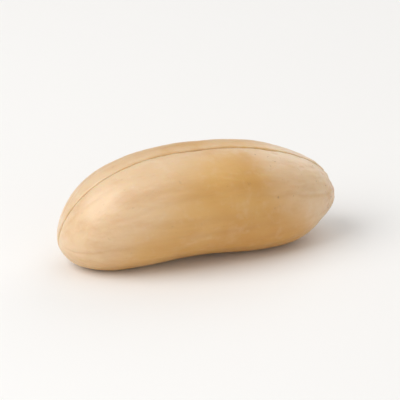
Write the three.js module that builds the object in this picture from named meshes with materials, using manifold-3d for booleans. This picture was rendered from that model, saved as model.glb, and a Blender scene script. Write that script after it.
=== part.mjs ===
// A blanched peanut kernel lying on its side, in millimetres, +Z up.
// It is two cotyledons that meet at a flat seam, with the germ held between them at one end,
// where its pointed tip shows. +X runs to the germ end, and the origin is under the middle.

import * as THREE from "three";
import { mergeVertices } from "three/addons/utils/BufferGeometryUtils.js";
import Module from "manifold-3d";

const wasm = await Module();
wasm.setup();

// The kernel's own frame has x along it, y across the seam and z in the seam.
const BODY_LENGTH = 19;
const HALF_WIDTH = 3.78; // in the seam
const HALF_THICKNESS = { front: 3.9, back: 3.8 }; // across it, where the front is -y
const BLUNT_END_POWER = 3.3; // how square each end is
const GERM_END_POWER = 2.7;
const SECTION_POWER = 2.1; // 2 is an ellipse
const BOW = { x: -1, rise: 1.23, reach: 8.4 }; // how the mid line is arched upwards
const DROOP = 0.8; // how far it sinks further at the blunt end

// The seam is a narrow gap at the bottom of a shallow groove with rounded rims.
const SEAM_GAP = 0.12;
const GROOVE = [ // distance from the seam, depth
  [0, 0.22],
  [0.13, 0.12],
  [0.34, 0],
];

// Faint veins run along each cotyledon.
const VEINS_EACH = 5;
const VEIN_DEPTH = 0.05;

// Broad dents where neighbours pressed on the kernel: place along x, degrees round the kernel from
// the top of the seam (negative is the front), depth, reach along x, and reach round it in degrees.
// The first is the flattened belly that the kernel lies on.
const DENTS = [
  { x: -1, round: -172, depth: 0.16, along: 8, across: 32 },
  { x: -0.8, round: -135, depth: 0.16, along: 3.2, across: 30 },
  { x: 4.6, round: -79, depth: 0.2, along: 2.6, across: 34 },
  { x: 9.2, round: -145, depth: 0.85, along: 1.7, across: 45 },
  { x: -2.8, round: 89, depth: 0.3, along: 3.8, across: 38 },
  { x: 4.2, round: 131, depth: 0.22, along: 2.8, across: 32 },
];

// The germ is a stout root that tapers to a tip, a neck, and the folded shoot behind it.
const GERM_TIP = { x: 9.66, z: -0.2 };
const GERM_RISE_DEG = 3; // from its tip towards the middle of the kernel
const GERM_FLATNESS = 0.86; // its thickness across the seam, as a share of its width
const GERM_PROFILE = [ // distance from the tip, radius
  [0, 0],
  [0.06, 0.22],
  [0.22, 0.42],
  [0.6, 0.66],
  [1.2, 0.88],
  [2.0, 0.98],
  [2.8, 0.88],
  [3.4, 0.64],
  [3.9, 0.58],
  [4.6, 0.6],
  [5.2, 0.4],
  [5.45, 0],
];

// The hollow that holds the germ flares where it opens at the end, with a small pit beside the tip.
const GERM_CLEARANCE = 0.12;
const MOUTH_FROM_TIP = 0.9; // where the flare starts
const MOUTH_RADIUS = 1.2; // at its rim
const MOUTH_OUTSIDE = 0.6; // how far past the tip the flare is cut
const PIT = { x: 9.2, z: 0.95, length: 1.3, width: 0.75, height: 1.4 };

// How it lies: the seam leans a little to the front, the belly touches down near both ends,
// and it is flattened where it rests.
const ROLL_DEG = 8;
const PITCH_DEG = -0.65;
const REST_DEPTH = 0.12;

// Fineness
const RINGS = 48;
const SEGMENTS = 72;
const GERM_SEGMENTS = 24;
const PIT_SEGMENTS = 16;

const HALF_LENGTH = BODY_LENGTH / 2;
const BLOCK = 2 * BODY_LENGTH; // a cutting block larger than the kernel
const { degToRad, mapLinear } = THREE.MathUtils;

const ivory = new THREE.MeshStandardMaterial({ color: 0xdcb479, roughness: 0.5, metalness: 0 });
const cream = new THREE.MeshStandardMaterial({ color: 0xe0ba82, roughness: 0.5, metalness: 0 });
const honey = new THREE.MeshStandardMaterial({ color: 0xcb9c58, roughness: 0.55, metalness: 0 });

// A bell curve, 1 where there is no offset.
function bell(offset, reach) {
  return Math.exp(-((offset / reach) ** 2));
}

// The share of the full section that is left at a place along the kernel, from -1 to 1.
function endCap(along) {
  const power = along < 0 ? BLUNT_END_POWER : GERM_END_POWER;
  return Math.sqrt(Math.max(0, 1 - Math.abs(along) ** power));
}

// The height of the kernel's mid line at a distance along it.
function midLine(x) {
  const toBlunt = Math.max(0, -x / HALF_LENGTH);
  return BOW.rise * bell(x - BOW.x, BOW.reach) - DROOP * toBlunt ** 4;
}

// The distance from the mid line to the skin, where round is 0 at the top of the seam.
function skinRadius(along, round) {
  const thickness = Math.sin(round) < 0 ? HALF_THICKNESS.front : HALF_THICKNESS.back;
  const across = Math.abs(Math.sin(round) / thickness) ** SECTION_POWER;
  const inSeam = Math.abs(Math.cos(round) / HALF_WIDTH) ** SECTION_POWER;
  let radius = 1 / (across + inSeam) ** (1 / SECTION_POWER);
  for (const dent of DENTS) {
    const turn = round - degToRad(dent.round);
    const apart = Math.atan2(Math.sin(turn), Math.cos(turn));
    const share = bell(along * HALF_LENGTH - dent.x, dent.along) * bell(apart, degToRad(dent.across));
    radius -= dent.depth * share;
  }
  radius -= (VEIN_DEPTH / 2) * (1 + Math.cos(2 * VEINS_EACH * round));
  return radius * endCap(along);
}

// The whole kernel, sculpted from a sphere whose poles become the two ends. The first columns of
// points on each side of the seam follow its groove, and the others are evenly spread.
function kernelGeometry() {
  const geometry = new THREE.SphereGeometry(1, SEGMENTS, RINGS);
  const position = geometry.attributes.position;
  const step = (2 * Math.PI) / SEGMENTS;
  const last = GROOVE.length - 1;
  const [edge] = GROOVE[last];
  for (let i = 0; i < position.count; i++) {
    const along = position.getY(i);
    const even = Math.atan2(position.getZ(i), position.getX(i));
    const seam = Math.PI * Math.round(even / Math.PI);
    const column = Math.round(Math.abs(even - seam) / step);
    const reach = HALF_WIDTH * endCap(along);
    const perMm = Math.min(1 / reach, (last * step) / edge); // the groove narrows at the ends
    const [distance, depth] = GROOVE[column] ?? [0, 0];
    const spread = mapLinear(column, last, SEGMENTS / 4, edge * perMm, Math.PI / 2);
    const turn = column > last ? spread : distance * perMm;
    const round = seam + Math.sign(even - seam) * turn;
    const radius = skinRadius(along, round) - depth * perMm * reach;
    const x = along * HALF_LENGTH;
    position.setXYZ(i, x, radius * Math.sin(round), midLine(x) + radius * Math.cos(round));
  }
  return geometry;
}

// A body turned about the germ's own axis, from points of distance from the tip and radius.
function onGermAxis(profile) {
  const points = profile.map(([fromTip, radius]) => new THREE.Vector2(radius, -fromTip));
  const geometry = new THREE.LatheGeometry(points.reverse(), GERM_SEGMENTS);
  geometry.rotateZ(-Math.PI / 2);
  geometry.scale(1, GERM_FLATNESS, 1);
  geometry.rotateY(degToRad(GERM_RISE_DEG));
  geometry.translate(GERM_TIP.x, 0, GERM_TIP.z);
  return geometry;
}

// The hollow between the cotyledons that holds the germ, open at the end.
function hollowProfile() {
  const next = GERM_PROFILE.findIndex(([fromTip]) => fromTip > MOUTH_FROM_TIP);
  const [before, after] = GERM_PROFILE.slice(next - 1);
  const throat = mapLinear(MOUTH_FROM_TIP, before[0], after[0], before[1], after[1]);
  const around = GERM_PROFILE.slice(next, -1);
  const [innermost] = GERM_PROFILE.at(-1);
  return [
    [-MOUTH_OUTSIDE, 0],
    [-MOUTH_OUTSIDE, MOUTH_RADIUS],
    [MOUTH_FROM_TIP, throat + GERM_CLEARANCE],
    ...around.map(([fromTip, radius]) => [fromTip, radius + GERM_CLEARANCE]),
    [innermost + GERM_CLEARANCE, 0],
  ];
}

function pitGeometry() {
  const geometry = new THREE.SphereGeometry(0.5, PIT_SEGMENTS, PIT_SEGMENTS / 2);
  geometry.scale(PIT.length, PIT.width, PIT.height);
  geometry.translate(PIT.x, 0, PIT.z);
  return geometry;
}

// A closed geometry as a solid.
function solidOf(geometry) {
  const bare = geometry.clone();
  bare.deleteAttribute("normal");
  bare.deleteAttribute("uv");
  const merged = mergeVertices(bare, 1e-5);
  const corners = merged.index.array;
  const triangles = [];
  for (let i = 0; i < corners.length; i += 3) {
    const [a, b, c] = corners.slice(i, i + 3);
    if (a !== b && b !== c && c !== a) triangles.push(a, b, c);
  }
  return new wasm.Manifold(
    new wasm.Mesh({
      numProp: 3,
      vertProperties: merged.attributes.position.array,
      triVerts: new Uint32Array(triangles),
    }),
  );
}

function geometryOf(solid) {
  const mesh = solid.getMesh();
  const geometry = new THREE.BufferGeometry();
  geometry.setAttribute("position", new THREE.BufferAttribute(mesh.vertProperties, 3));
  geometry.setIndex(new THREE.BufferAttribute(mesh.triVerts, 1));
  geometry.computeVertexNormals();
  return geometry;
}

// Everything on one side of the seam, where -1 is the front and 1 the back.
function sideOfSeam(side) {
  const block = new THREE.BoxGeometry(BLOCK, BLOCK, BLOCK);
  block.translate(0, (side * (BLOCK + SEAM_GAP)) / 2, 0);
  return solidOf(block);
}

// Everything under the surface that the kernel rests on, in the kernel's own frame.
function underRest(geometry, lying) {
  const turned = geometry.clone().applyMatrix4(lying);
  turned.computeBoundingBox();
  const block = new THREE.BoxGeometry(BLOCK, BLOCK, BLOCK);
  block.translate(0, 0, turned.boundingBox.min.z + REST_DEPTH - BLOCK / 2);
  block.applyMatrix4(lying.clone().invert());
  return solidOf(block);
}

function part(name, geometry, material) {
  const mesh = new THREE.Mesh(geometry, material);
  mesh.name = name;
  return mesh;
}

const kernel = new THREE.Group();
kernel.rotation.set(degToRad(ROLL_DEG), degToRad(PITCH_DEG), 0);
kernel.updateMatrix();

const whole = kernelGeometry();
const flesh = solidOf(whole)
  .subtract(solidOf(onGermAxis(hollowProfile())))
  .subtract(solidOf(pitGeometry()))
  .subtract(underRest(whole, kernel.matrix));

kernel.add(part("cotyledon_front", geometryOf(flesh.intersect(sideOfSeam(-1))), ivory));
kernel.add(part("cotyledon_back", geometryOf(flesh.intersect(sideOfSeam(1))), cream));
kernel.add(part("germ", onGermAxis(GERM_PROFILE), honey));

// The origin goes under the middle of the kernel, on the surface that it rests on.
const peanut = new THREE.Group();
peanut.add(kernel);
const bounds = new THREE.Box3().setFromObject(peanut, true);
const middle = bounds.getCenter(new THREE.Vector3());
peanut.position.set(-middle.x, -middle.y, -bounds.min.z);

export default peanut;
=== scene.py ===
import math

import bpy
import numpy as np
from mathutils import Matrix, Vector


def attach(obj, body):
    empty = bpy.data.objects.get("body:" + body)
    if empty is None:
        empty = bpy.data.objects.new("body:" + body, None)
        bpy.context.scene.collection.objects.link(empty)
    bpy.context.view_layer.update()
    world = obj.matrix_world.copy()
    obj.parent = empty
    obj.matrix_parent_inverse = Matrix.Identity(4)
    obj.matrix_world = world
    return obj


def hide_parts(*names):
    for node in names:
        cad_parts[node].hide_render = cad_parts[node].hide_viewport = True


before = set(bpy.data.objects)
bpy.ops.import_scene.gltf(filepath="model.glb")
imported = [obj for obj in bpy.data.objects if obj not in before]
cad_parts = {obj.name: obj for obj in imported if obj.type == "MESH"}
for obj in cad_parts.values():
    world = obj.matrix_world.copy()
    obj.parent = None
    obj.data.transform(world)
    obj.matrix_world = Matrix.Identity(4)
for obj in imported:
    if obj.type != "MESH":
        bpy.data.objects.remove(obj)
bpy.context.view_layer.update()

# A blanched peanut kernel: two cotyledons and the germ between them. Each piece starts from the
# solid of its node, which is remeshed finely, drawn onto the smooth form and given its surface.
# Shapes are in millimetres in the kernel's own frame: x along it, y across the seam, z in the seam.
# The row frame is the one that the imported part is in.

MM = 0.001
FRONT, BACK = -1, 1  # the sides of the seam, by the sign of y

# How the kernel lies
ROLL = math.radians(8)
PITCH = math.radians(-0.65)

# The form of the kernel, as in its solids
HALF_LENGTH = 9.5
HALF_WIDTH = 3.78  # in the seam
HALF_THICKNESS = {FRONT: 3.9, BACK: 3.8}  # across it
BLUNT_END_POWER = 3.3  # how square each end is
GERM_END_POWER = 2.7
SECTION_POWER = 2.1  # 2 is an ellipse
BOW_X = -1  # where the mid line is highest
BOW_RISE = 1.23
BOW_REACH = 8.4
DROOP = 0.8  # how far it sinks further at the blunt end

# Broad dents: x, degrees round from the top of the seam, depth, reach along, reach round in degrees
DENTS = [
    (-1, -172, 0.16, 8, 32),
    (-0.8, -135, 0.16, 3.2, 30),
    (4.6, -79, 0.2, 2.6, 34),
    (9.2, -145, 0.85, 1.7, 45),
    (-2.8, 89, 0.3, 3.8, 38),
    (4.2, 131, 0.22, 2.8, 32),
]

# The germ: distance from its tip, and radius
GERM_TIP = np.array([9.66, 0.0, -0.2])
GERM_RISE = math.radians(3)
GERM_FLATNESS = 0.86
GERM_PROFILE = [
    (0, 0), (0.06, 0.22), (0.22, 0.42), (0.6, 0.66), (1.2, 0.88), (2.0, 0.98),
    (2.8, 0.88), (3.4, 0.64), (3.9, 0.58), (4.6, 0.6), (5.2, 0.4), (5.45, 0),
]
GERM_LENGTH = GERM_PROFILE[-1][0]
GERM_RIDGES = 9
GERM_RIDGE_HEIGHT = 0.02
GERM_LUMPS = 0.05

# The hollow that holds it: its radius stays the same nearer the tip than its front, and it closes
# beyond its back. Its mouth flares. Distances are from the germ's tip.
HOLLOW_CLEARANCE = 0.06
HOLLOW_FRONT = 0.5
HOLLOW_BACK = 5.2
MOUTH_START = 0.9
MOUTH_RADIUS = 0.86
MOUTH_FLARE = 0.22
MOUTH_ROUNDING = 0.32
RAGGED_EDGE = 0.06

# The small pit beside the germ's tip
PIT_CENTRE = (9.2, 0.0, 0.95)
PIT_HALF_SIZE = (0.65, 0.375, 0.7)
PIT_ROUNDING = 0.4
CUTS_FROM_X = 2.5  # the hollow and the pit lie beyond this

# The seam: how far it wanders, each half's share of its gap, and its rounded and chipped rims
SEAM_WANDER = 0.06
SEAM_JITTER = 0.02
GAP_SHARE = 0.012
GAP_SPREAD = 0.022
LEAST_GAP_SHARE = 0.005
RIM_ROUNDING = 0.16
RIM_SPREAD = 0.1
RIM_JITTER = 0.06
LEAST_RIM_ROUNDING = 0.09
CHIPS = 0.16

# Heights of the skin's own relief, and how closely its veins lie
LOW_LUMPS = 0.04
VEIN_DEPTH = 0.035
VEINS_EACH = 5.2
WRINKLES = 0.009
NICK_DEPTH = 0.04
ROUGH_END = 0.06
ROUGH_END_X = 9.6  # where it is roughest
ROUGH_END_REACH = 1.9

# How far the marks reach from the seam (the painted shade in its groove, and the rims' pale scuffing
# with painted highlight along the top), and where those at the germ's tip start to fade and end
SEAM_SHADE_REACH = 0.2
RIM_SCUFF_AND_HIGHLIGHT = 1.2
TIP_MARKS = (0.7, 2.8)
TIP_MARKS_ON_GERM = (0.1, 1.3)

# Where the pale ends start and are full, how much nearer the middle they reach at the top of
# each half (blunt end, germ end), and how far their edges wander. The pale ends are partly whitened
# skin and partly a painted highlight of the sheen; their rise towards the middle at the top is painted
# highlight.
PALE_BLUNT_END = (-2.2, -8.2)
PALE_GERM_END = (4.2, 8.3)
TOP_HIGHLIGHT_RISE = {FRONT: (4.4, 2.6), BACK: (1.4, 1.0)}
PALE_WANDER = 0.8

# Fineness of the remeshed pieces, and how softly they settle on the floor
VOXEL = 0.072
GERM_VOXEL = 0.045
SETTLE = 0.05


def turn_x(angle):
    c, s = math.cos(angle), math.sin(angle)
    return np.array([[1, 0, 0], [0, c, -s], [0, s, c]])


def turn_y(angle):
    c, s = math.cos(angle), math.sin(angle)
    return np.array([[c, 0, s], [0, 1, 0], [-s, 0, c]])


LAY = turn_x(ROLL) @ turn_y(PITCH)


def kernel_origin():
    """Where the row frame has the kernel's own origin, from the tip of the germ's solid."""
    places = [vertex.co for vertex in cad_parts["germ"].data.vertices]
    tip = max(places, key=lambda place: place.x)
    return np.array(tip) / MM - LAY @ GERM_TIP


ORIGIN = kernel_origin()


def to_kernel(points):
    """From the row frame, in millimetres, to the kernel's own frame."""
    return (points - ORIGIN) @ LAY


def to_row(points):
    return points @ LAY.T + ORIGIN


# Seeded gradient noise

LATTICE = 256
NOISE_GAIN = 1.7  # brings it to about -1 to 1
OCTAVE_SHIFT = 17.3
rng = np.random.default_rng(11)
HASH = rng.permutation(LATTICE)
SLOPES = rng.normal(size=(LATTICE, 3))
SLOPES /= np.linalg.norm(SLOPES, axis=1)[:, None]


def noise3(points):
    cell = np.floor(points).astype(int)
    part = points - cell
    fade = part**3 * (part * (part * 6 - 15) + 10)
    total = np.zeros(len(points))
    for corner in np.ndindex(2, 2, 2):
        at = (cell + corner) % LATTICE
        slot = HASH[(HASH[(HASH[at[:, 0]] + at[:, 1]) % LATTICE] + at[:, 2]) % LATTICE]
        weight = np.prod(np.where(corner, fade, 1 - fade), axis=1)
        total += weight * ((part - corner) * SLOPES[slot]).sum(axis=1)
    return total * NOISE_GAIN


def noise_at(points, per_mm, seed):
    """Noise whose features are about 1/per_mm mm across. Another seed gives another pattern."""
    return noise3(points * per_mm + seed)


def layered(points, octaves=3, gain=0.5):
    """Noise with finer and fainter noise added to it."""
    total, size = 0, 1
    for octave in range(octaves):
        total = total + size * noise3(points * 2**octave + OCTAVE_SHIFT * octave)
        size *= gain
    return total


def bell(offset, reach):
    return np.exp(-((offset / reach) ** 2))


def smoothstep(low, high, value):
    share = np.clip((value - low) / (high - low), 0, 1)
    return share * share * (3 - 2 * share)


# The smooth form. A level function is 0 on a surface, and its sign tells the two sides apart.


def mid_line(x):
    to_blunt = np.maximum(0, -x / HALF_LENGTH)
    return BOW_RISE * bell(x - BOW_X, BOW_REACH) - DROOP * to_blunt**4


def polar(points):
    """Distance from the mid line, and angle from the top of the seam, negative on the front."""
    up = points[:, 2] - mid_line(points[:, 0])
    return np.hypot(points[:, 1], up), np.arctan2(points[:, 1], up)


def skin_radius(x, turn, side):
    across = np.abs(np.sin(turn) / HALF_THICKNESS[side]) ** SECTION_POWER
    in_seam = np.abs(np.cos(turn) / HALF_WIDTH) ** SECTION_POWER
    radius = (across + in_seam) ** (-1 / SECTION_POWER)
    for dent_x, dent_turn, depth, reach, spread in DENTS:
        apart = turn - math.radians(dent_turn)
        apart = np.arctan2(np.sin(apart), np.cos(apart))
        radius = radius - depth * bell(x - dent_x, reach) * bell(apart, math.radians(spread))
    return radius


def skin_level(points, side):
    """Below 0 in the kernel."""
    distance, turn = polar(points)
    along = points[:, 0] / HALF_LENGTH
    power = np.where(along < 0, BLUNT_END_POWER, GERM_END_POWER)
    return np.abs(along) ** power + (distance / skin_radius(points[:, 0], turn, side)) ** 2 - 1


def smooth_curve(points, per_span=24):
    """A dense polyline through the points, as a Catmull-Rom curve."""
    p = np.array(points, float)
    p = np.vstack([p[0] - (p[1] - p[0]) * [1, -1], p, p[-1] + (p[-1] - p[-2]) * [1, -1]])
    t = np.linspace(0, 1, per_span, endpoint=False)[:, None]
    spans = []
    for a, b, c, d in zip(p[:-3], p[1:-2], p[2:-1], p[3:]):
        cubic = 2 * a - 5 * b + 4 * c - d + t * (3 * (b - c) + d - a)
        spans.append(b + 0.5 * t * (c - a + t * cubic))
    spans.append(p[-2:-1])
    return np.vstack(spans)


GERM_CURVE = smooth_curve(GERM_PROFILE)


def germ_frame(points):
    """Distance from the tip along the germ's axis, then across the seam and in it."""
    local = (points - GERM_TIP) @ turn_y(GERM_RISE)
    return -local[:, 0], local[:, 1] / GERM_FLATNESS, local[:, 2]


def germ_radius(from_tip):
    return np.interp(from_tip, GERM_CURVE[:, 0], np.maximum(GERM_CURVE[:, 1], 0))


def germ_level(points):
    """Below 0 in the germ."""
    from_tip, across, up = germ_frame(points)
    turn = np.arctan2(across, up)
    ridges = GERM_RIDGE_HEIGHT * np.sin(GERM_RIDGES * turn + 1.5 * noise3(points * 1.3))
    lumps = GERM_LUMPS * noise_at(points, 1.5, 21)
    bumpy = (ridges + lumps) * smoothstep(0.1, 0.9, from_tip)
    radius = germ_radius(np.clip(from_tip, 0, GERM_LENGTH)) + bumpy
    beyond = np.maximum(0, -from_tip) + np.maximum(0, from_tip - GERM_LENGTH)
    return np.hypot(across, up) - radius + beyond * 2


def hollow_level(points):
    """Above 0 in the hollow that holds the germ."""
    from_tip, across, up = germ_frame(points)
    close = germ_radius(np.maximum(from_tip, HOLLOW_FRONT)) + HOLLOW_CLEARANCE
    flare = MOUTH_RADIUS - MOUTH_FLARE * (from_tip - MOUTH_START)
    past_back = from_tip - HOLLOW_BACK
    radius = np.where(past_back > 0, close - past_back, np.maximum(close, flare))
    return radius - np.hypot(across, up)


def pit_level(points):
    """Above 0 in the pit."""
    return 1 - np.linalg.norm((points - PIT_CENTRE) / PIT_HALF_SIZE, axis=1)


# A field is the distance out of the flesh at each point, and the direction that it grows in.


def field_of(level, points, step=0.01, least_steep=1e-6):
    """The field of a level function, by differences."""
    here = level(points)
    slope = np.empty_like(points)
    for i, axis in enumerate(np.eye(3) * step):
        slope[:, i] = (level(points + axis) - here) / step
    steep = np.maximum(np.linalg.norm(slope, axis=1), least_steep)
    return here / steep, slope / steep[:, None]


def blend_max(a, b, rounding):
    """The field outside either of two, with the edge between them rounded. Also a's share."""
    share = np.clip(0.5 + 0.5 * (a[0] - b[0]) / rounding, 0, 1)
    value = share * a[0] + (1 - share) * b[0] + rounding * share * (1 - share)
    slope = share[:, None] * a[1] + (1 - share)[:, None] * b[1]
    return (value, slope), share


def draw_onto(points, field, rounds=4, furthest=0.14, least_square=0.2):
    """Moves points onto a field's zero, in rounds of steps that are kept short."""
    for _ in range(rounds):
        value, slope = field(points)
        square = np.maximum((slope**2).sum(axis=1), least_square)
        step = np.clip(value, -furthest, furthest) / square
        points = points - step[:, None] * slope
    return points


class Cotyledon:
    """The smooth form of one half, whose small irregularities are drawn once for its points."""

    def __init__(self, points, side):
        self.side = side
        plan = points * [1, 0, 1]
        wander = SEAM_WANDER * noise_at(plan, 0.25, 3.1)
        self.shift = wander + SEAM_JITTER * noise_at(plan, 0.9, 8.2)
        gap = GAP_SHARE + GAP_SPREAD * noise_at(plan, 0.45, 41)
        self.gap = np.maximum(gap, LEAST_GAP_SHARE)
        rim = RIM_ROUNDING + RIM_SPREAD * noise_at(points, 0.5, 12 * side)
        rim = rim + RIM_JITTER * noise_at(points, 1.5, side)
        chipped = smoothstep(0.5, 0.8, noise_at(points, 0.62, 33 * side))
        self.rim = np.maximum(rim, LEAST_RIM_ROUNDING) + CHIPS * chipped
        self.ragged = RAGGED_EDGE * noise_at(points, 1.9, 5)
        self.near_cuts = points[:, 0] > CUTS_FROM_X

    def field(self, points):
        """Its field, and how much of the skin, rather than a cut, is in it at each point."""
        whole = field_of(lambda p: skin_level(p, self.side), points)
        past_seam = -self.side * (points[:, 1] - self.shift) + self.gap
        to_seam = np.broadcast_to([0.0, -self.side, 0.0], points.shape)
        (value, slope), outer = blend_max(whole, (past_seam, to_seam), self.rim)
        near = self.near_cuts
        here = (value[near], slope[near])
        for level, rounding in ((hollow_level, MOUTH_ROUNDING), (pit_level, PIT_ROUNDING)):
            depth, inwards = field_of(level, points[near])
            here, kept = blend_max(here, (depth + self.ragged[near], inwards), rounding)
            outer[near] *= kept
        value[near], slope[near] = here
        return (value, slope), outer


def skin_relief(points, side):
    """Height of the skin's own relief, and how much of a vein's colour each point has."""
    distance, turn = polar(points)
    x = points[:, 0]
    low = LOW_LUMPS * layered(points * 0.3 + 50 * side, 2)

    # Veins fan out from the ends. They sway, and come and go.
    sway = np.stack([x * 0.16, turn * 1.1, np.full_like(x, side)], axis=1)
    fan = turn * VEINS_EACH + 0.5 * noise3(sway) + 0.9 * side
    presence = np.stack([x * 0.2, turn * 1.4, np.full_like(x, 9)], axis=1)
    strength = smoothstep(-0.35, 0.6, noise3(presence)) * smoothstep(0.2, 1.8, distance)
    veins = -VEIN_DEPTH * bell(np.sin(fan), 0.32) * strength
    marks = bell(np.sin(fan + 0.2 * noise3(points * 0.9)), 0.2) * strength

    grain = np.stack([x * 0.75, turn * 7.5, distance * 0.6], axis=1)
    wrinkles = WRINKLES * layered(grain + side, 3, 0.6) * smoothstep(0.1, 1.4, distance)
    nicks = -NICK_DEPTH * smoothstep(0.58, 0.9, noise_at(points, [0.7, 1.3, 1.3], 70))
    near_end = bell(x - ROUGH_END_X, ROUGH_END_REACH)
    rough = near_end * ROUGH_END * layered(points * 1.5 + 90)
    return low + veins + wrinkles + nicks + rough, marks


# The pieces


def fine_copy(node, name, voxel):
    """A new object with the node's solid remeshed finely, and its points in millimetres."""
    source = bpy.data.objects.new(name + ".solid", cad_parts[node].data.copy())
    bpy.context.scene.collection.objects.link(source)
    source.data.transform(Matrix.Scale(1 / MM, 4))
    remesh = source.modifiers.new("remesh", "REMESH")
    remesh.mode = "VOXEL"
    remesh.voxel_size = voxel
    shaped = source.evaluated_get(bpy.context.evaluated_depsgraph_get())
    mesh = bpy.data.meshes.new_from_object(shaped)
    bpy.data.objects.remove(source)
    mesh.name = name
    mesh.materials.clear()
    piece = bpy.data.objects.new(name, mesh)
    bpy.context.scene.collection.objects.link(piece)
    points = np.empty(len(mesh.vertices) * 3)
    mesh.vertices.foreach_get("co", points)
    return piece, points.reshape(-1, 3)


def set_points(piece, points):
    """Writes the points, from the row frame in millimetres, resting on the floor."""
    share = np.clip(0.5 - 0.5 * points[:, 2] / SETTLE, 0, 1)
    points[:, 2] = (1 - share) * points[:, 2] + SETTLE * share * (1 - share)
    piece.data.vertices.foreach_set("co", (points * MM).ravel())
    piece.data.polygons.foreach_set("use_smooth", [True] * len(piece.data.polygons))
    piece.data.update()


def set_values(piece, name, values):
    """Keeps a value from 0 to 1 at each point, for the material."""
    layer = piece.data.attributes.new(name, "FLOAT", "POINT")
    layer.data.foreach_set("value", np.clip(values, 0, 1).astype(np.float32))


def make_cotyledon(node, name, side):
    piece, points = fine_copy(node, name, VOXEL)
    points = to_kernel(points)
    form = Cotyledon(points, side)
    points = draw_onto(points, lambda p: form.field(p)[0])
    (_, slope), outer = form.field(points)
    slope = slope / np.linalg.norm(slope, axis=1)[:, None]
    skin = smoothstep(0.35, 0.95, outer)
    relief, veins = skin_relief(points, side)
    points = points + (relief * skin)[:, None] * slope
    set_values(piece, "vein", veins * skin)

    # Pale ends: partly whitened skin, partly a painted highlight; they reach nearer the middle at the
    # top of each half, as painted light from above
    upper = np.cos(polar(points)[1])
    x = points[:, 0] + PALE_WANDER * noise_at(points, 0.35, 60 * side)
    at_blunt, at_germ = TOP_HIGHLIGHT_RISE[side]
    set_values(piece, "blunt_end", smoothstep(*PALE_BLUNT_END, x - at_blunt * upper))
    set_values(piece, "germ_end", smoothstep(*PALE_GERM_END, x + at_germ * upper))

    # Masks from the seam: painted shade in its groove, and pale rims that are partly scuffing and partly
    # a painted highlight
    off_seam = np.abs(points[:, 1] - form.shift)
    set_values(piece, "seam", bell(off_seam, SEAM_SHADE_REACH))
    set_values(piece, "rim", bell(off_seam, RIM_SCUFF_AND_HIGHLIGHT))
    to_tip = np.linalg.norm((points - GERM_TIP) * [0.7, 1, 0.8], axis=1)
    set_values(piece, "tip", 1 - smoothstep(*TIP_MARKS, to_tip))
    set_points(piece, to_row(points))
    return piece


def make_germ(node, name):
    piece, points = fine_copy(node, name, GERM_VOXEL)
    points = to_kernel(points)
    points = draw_onto(points, lambda p: field_of(germ_level, p), rounds=3, furthest=0.06)
    from_tip, _, _ = germ_frame(points)
    set_values(piece, "tip", 1 - smoothstep(*TIP_MARKS_ON_GERM, from_tip))
    set_points(piece, to_row(points))
    return piece


# Materials

AMBER = (0.58, 0.275, 0.028, 1)
IVORY = (0.69, 0.40, 0.112, 1)
CHALK = (0.765, 0.572, 0.38, 1)
HONEY = (0.50, 0.22, 0.035, 1)
BROWN = (0.20, 0.075, 0.03, 1)
ROSY = (0.46, 0.20, 0.09, 1)
TRANSLUCENCY = {"Subsurface Weight": 0.4, "Subsurface Radius": (1.0, 0.5, 0.2)}


class Nodes:
    """Makes a material's nodes and joins them. Lengths are in millimetres."""

    def __init__(self, name):
        self.material = bpy.data.materials.new(name)
        self.material.use_nodes = True
        self.tree = self.material.node_tree
        place = self.add("ShaderNodeTexCoord").outputs["Object"]
        self.place = self.scaled(place, (1 / MM, 1 / MM, 1 / MM))

    def add(self, kind, inputs=None, **settings):
        node = self.tree.nodes.new(kind)
        for key, value in settings.items():
            setattr(node, key, value)
        for key, value in (inputs or {}).items():
            self.put(node.inputs[key], value)
        return node

    def put(self, socket, value):
        if isinstance(value, bpy.types.NodeSocket):
            self.tree.links.new(value, socket)
        else:
            socket.default_value = value

    def shade(self, inputs):
        """Sets the shader's inputs, and returns the material."""
        shader = self.tree.nodes["Principled BSDF"]
        for key, value in inputs.items():
            self.put(shader.inputs[key], value)
        return self.material

    def scaled(self, vector, scale):
        made = self.add("ShaderNodeVectorMath", {0: vector, 1: scale}, operation="MULTIPLY")
        return made.outputs[0]

    def noise(self, scale, seed, detail=2.0, roughness=0.5, stretch=None, distortion=0.0):
        """Noise whose features are about 1/scale mm across. Another seed gives another pattern."""
        vector = self.place if stretch is None else self.scaled(self.place, stretch)
        inputs = {0: vector, 1: (seed, seed, seed)}
        moved = self.add("ShaderNodeVectorMath", inputs, operation="ADD")
        inputs = {
            "Vector": moved.outputs[0],
            "Scale": scale,
            "Detail": detail,
            "Roughness": roughness,
            "Distortion": distortion,
        }
        return self.add("ShaderNodeTexNoise", inputs).outputs["Fac"]

    def between(self, value, low, high, to_low=0.0, to_high=1.0):
        """A value's range from low to high, spread smoothly to another."""
        inputs = {"Value": value, "From Min": low, "From Max": high, "To Min": to_low, "To Max": to_high}
        made = self.add("ShaderNodeMapRange", inputs, interpolation_type="SMOOTHSTEP")
        return made.outputs["Result"]

    def cloud(self, scale, seed, spread, **noise):
        """Noise with its range spread: from low to high, and then what these two become."""
        return self.between(self.noise(scale, seed, **noise), *spread)

    def math(self, operation, *values):
        return self.add("ShaderNodeMath", dict(enumerate(values)), operation=operation).outputs[0]

    def paint(self, base, colour, share, within=None):
        """The base with a share of a colour over it, within what another value allows."""
        if within is not None:
            share = self.math("MULTIPLY", within, share)
        made = self.add("ShaderNodeMix", {0: share, 6: base, 7: colour}, data_type="RGBA")
        return made.outputs[2]

    def attribute(self, name):
        return self.add("ShaderNodeAttribute", attribute_name=name).outputs["Fac"]

    def bump(self, height, strength, distance, normal=None):
        inputs = {"Height": height, "Strength": strength, "Distance": distance * MM}
        if normal is not None:
            inputs["Normal"] = normal
        return self.add("ShaderNodeBump", inputs).outputs[0]


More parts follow.
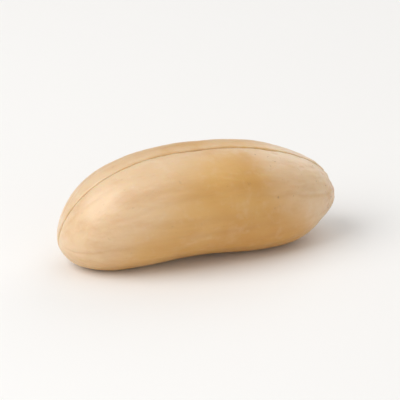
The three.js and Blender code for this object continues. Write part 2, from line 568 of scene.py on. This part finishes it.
def flesh_material(name, seed, amber):
    """Satin, slightly waxy and translucent nut flesh, with so much amber in its middle."""
    nodes = Nodes(name)
    germ_end = nodes.attribute("germ_end")
    ends = nodes.math("MAXIMUM", nodes.attribute("blunt_end"), germ_end)

    # Ivory, with amber patches in the middle and chalky pale ends: partly whitened skin, partly a
    # painted highlight of the sheen, reaching nearer the middle at the top as painted highlight
    patches = nodes.cloud(0.17, seed, (0.3, 0.7), detail=2.5, roughness=0.55)
    base = nodes.paint(IVORY, AMBER, patches, within=nodes.between(ends, 0.0, 1.0, amber, 0.2))
    pale = nodes.cloud(0.42, seed + 4.0, (0.5, 0.74), detail=5.0, roughness=0.62, distortion=0.4)
    pale_ends_and_highlight = nodes.math("MULTIPLY", ends, nodes.between(pale, 0.0, 1.0, 0.72, 1.0))
    base = nodes.paint(base, CHALK, nodes.math("MAXIMUM", pale_ends_and_highlight, nodes.math("MULTIPLY", pale, 0.2)))

    # Lengthwise streaks, and mottling
    stretch = (0.13, 1.0, 1.0)
    spread = (0.42, 0.72, 0.0, 0.3)
    streaks = nodes.cloud(0.85, seed + 8.0, spread, detail=4.0, roughness=0.6, stretch=stretch)
    base = nodes.paint(base, HONEY, streaks)
    mottle = nodes.cloud(1.5, seed + 12.0, (0.5, 0.78, 0.0, 0.2), detail=4.0, roughness=0.6)
    base = nodes.paint(base, CHALK, mottle)

    # Pale scuffing on the rims, partly a painted highlight along the top; darker veins; and patchy
    # painted shade in the seam's groove
    scuffs_and_highlight = nodes.cloud(0.5, seed + 14.0, (0.3, 0.65, 0.1, 0.6), detail=4.0, roughness=0.6)
    base = nodes.paint(base, CHALK, scuffs_and_highlight, within=nodes.attribute("rim"))
    base = nodes.paint(base, HONEY, 0.22, within=nodes.attribute("vein"))
    # Painted shade: patchy darker amber in the seam's groove
    seam_shade = nodes.cloud(0.9, seed + 16.0, (0.35, 0.7, 0.03, 0.35), detail=3.0, roughness=0.6)
    base = nodes.paint(base, HONEY, seam_shade, within=nodes.attribute("seam"))

    # Brownish pink by the germ's tip, and dark flecks, most of them at that end
    ragged = nodes.cloud(1.3, seed + 20.0, (0.38, 0.66, 0.0, 0.55), detail=4.0, roughness=0.65)
    base = nodes.paint(base, ROSY, ragged, within=nodes.attribute("tip"))
    flecks = nodes.cloud(2.6, seed + 24.0, (0.68, 0.74), detail=3.0)
    base = nodes.paint(base, BROWN, flecks, within=nodes.between(germ_end, 0.0, 1.0, 0.12, 0.8))

    # Satin, and rougher where it is pale
    satin = nodes.cloud(0.6, seed + 32.0, (0.3, 0.7, 0.38, 0.5), detail=4.0, roughness=0.6)
    rough = nodes.math("ADD", satin, nodes.math("MULTIPLY", pale, 0.1))

    # Fibres along the kernel, fine grain, and pores
    stretch = (0.2, 1.0, 1.0)
    fibres = nodes.noise(3.2, seed + 40.0, detail=4.0, roughness=0.62, stretch=stretch)
    grain = nodes.noise(7.0, seed + 36.0, detail=3.0, roughness=0.6)
    pores = nodes.cloud(2.3, seed + 44.0, (0.62, 0.74))
    normal = nodes.bump(fibres, 0.6, 0.04)
    normal = nodes.bump(grain, 0.4, 0.014, normal)
    normal = nodes.bump(nodes.math("MULTIPLY", pores, -1.0), 0.5, 0.02, normal)

    return nodes.shade({
        "Base Color": base,
        "Roughness": rough,
        "Normal": normal,
        **TRANSLUCENCY,
        "Subsurface Scale": 0.9 * MM,
        "IOR": 1.45,
        "Specular IOR Level": 0.3,
        "Coat Weight": 1.0,
        "Coat Roughness": 0.4,
        "Coat IOR": 1.6,
    })


def germ_material(name):
    """The flesh of the germ: darker streaks along it, and a browned tip."""
    nodes = Nodes(name)
    lengthwise = {"stretch": (0.25, 1.0, 1.0), "detail": 4.0, "roughness": 0.6}
    patches = nodes.cloud(1.1, 3.0, (0.35, 0.7), detail=3.0, roughness=0.55)
    base = nodes.paint(IVORY, AMBER, patches)
    streaks = nodes.cloud(3.0, 9.0, (0.45, 0.72, 0.0, 0.5), **lengthwise)
    base = nodes.paint(base, HONEY, streaks)
    browned = nodes.cloud(1.8, 14.0, (0.3, 0.7, 0.2, 0.75), detail=3.0, roughness=0.6)
    base = nodes.paint(base, ROSY, browned, within=nodes.attribute("tip"))
    fibres = nodes.noise(5.0, 26.0, **lengthwise)
    return nodes.shade({
        "Base Color": base,
        "Roughness": nodes.cloud(1.5, 20.0, (0.3, 0.7, 0.42, 0.6), detail=3.0),
        "Normal": nodes.bump(fibres, 0.6, 0.03),
        **TRANSLUCENCY,
        "Subsurface Scale": 0.8 * MM,
        "IOR": 1.46,
    })


def dress(piece, node, material):
    """Gives a piece its material, in place of the node that it stands for."""
    piece.data.materials.append(material)
    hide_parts(node)
    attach(piece, "root")


for side, name, seed, amber in ((FRONT, "front", 0.0, 0.95), (BACK, "back", 57.0, 0.7)):
    node = "cotyledon_" + name
    half = make_cotyledon(node, name + "_half", side)
    dress(half, node, flesh_material(name + "_flesh", seed, amber))
dress(make_germ("germ", "germ_fine"), "germ", germ_material("germ_flesh"))

# The floor, in metres from here on

HALF_FLOOR = 3.0
BELOW_KERNEL = 0.00001  # keeps the two surfaces apart
scene = bpy.context.scene
corners = [(x * HALF_FLOOR, y * HALF_FLOOR, 0) for x, y in ((-1, -1), (1, -1), (1, 1), (-1, 1))]
floor_mesh = bpy.data.meshes.new("floor")
floor_mesh.from_pydata(corners, [], [(0, 1, 2, 3)])
floor = bpy.data.objects.new("floor", floor_mesh)
floor.location.z = -BELOW_KERNEL
scene.collection.objects.link(floor)
paper = bpy.data.materials.new("floor_white")
paper.use_nodes = True
paper_inputs = paper.node_tree.nodes["Principled BSDF"].inputs
paper_inputs["Base Color"].default_value = (0.9, 0.897, 0.89, 1)
paper_inputs["Roughness"].default_value = 0.75
paper_inputs["Specular IOR Level"].default_value = 0.2
floor_mesh.materials.append(paper)

# The light: name, place, size, power and colour of each lamp

LIT_PLACE = (0, 0, 0.004)
WHITE = (1, 1, 1)
LAMPS = [
    ("key", (-0.18, -0.02, 0.175), 0.22, 0.46, (1.0, 0.99, 0.985)),
    ("top", (0.10, -0.02, 0.28), 0.20, 0.08, WHITE),
    ("fill", (0.08, -0.26, 0.04), 0.24, 0.06, WHITE),
    ("rim", (0.20, 0.16, 0.13), 0.22, 0.16, WHITE),
]


def aim(thing, place, target):
    """Puts a lamp or the camera at a place, facing a target."""
    thing.location = place
    thing.rotation_mode = "QUATERNION"
    thing.rotation_quaternion = (Vector(target) - Vector(place)).to_track_quat("-Z", "Y")
    scene.collection.objects.link(thing)


for name, place, size, power, colour in LAMPS:
    lamp = bpy.data.lights.new(name, "AREA")
    lamp.size = size
    lamp.energy = power
    lamp.color = colour
    aim(bpy.data.objects.new(name, lamp), place, LIT_PLACE)

world = bpy.data.worlds.new("studio")
world.use_nodes = True
sky_inputs = world.node_tree.nodes["Background"].inputs
sky_inputs["Color"].default_value = (1.0, 0.985, 0.96, 1)
sky_inputs["Strength"].default_value = 0.5
scene.world = world
scene.view_settings.view_transform = "Standard"
scene.view_settings.look = "None"

# The camera, at the photograph's angle

AZIMUTH = math.radians(-19)
ELEVATION = math.radians(24)
LENS = 250
DISTANCE = 0.182
NEAREST_SEEN = 0.01
TARGET = Vector((0, 0, 0.0036))
level = math.cos(ELEVATION)
towards = Vector((math.sin(AZIMUTH) * level, -math.cos(AZIMUTH) * level, math.sin(ELEVATION)))
camera = bpy.data.objects.new("camera", bpy.data.cameras.new("camera"))
camera.data.lens = LENS
camera.data.clip_start = NEAREST_SEEN
aim(camera, TARGET + towards * DISTANCE, TARGET)
scene.camera = camera
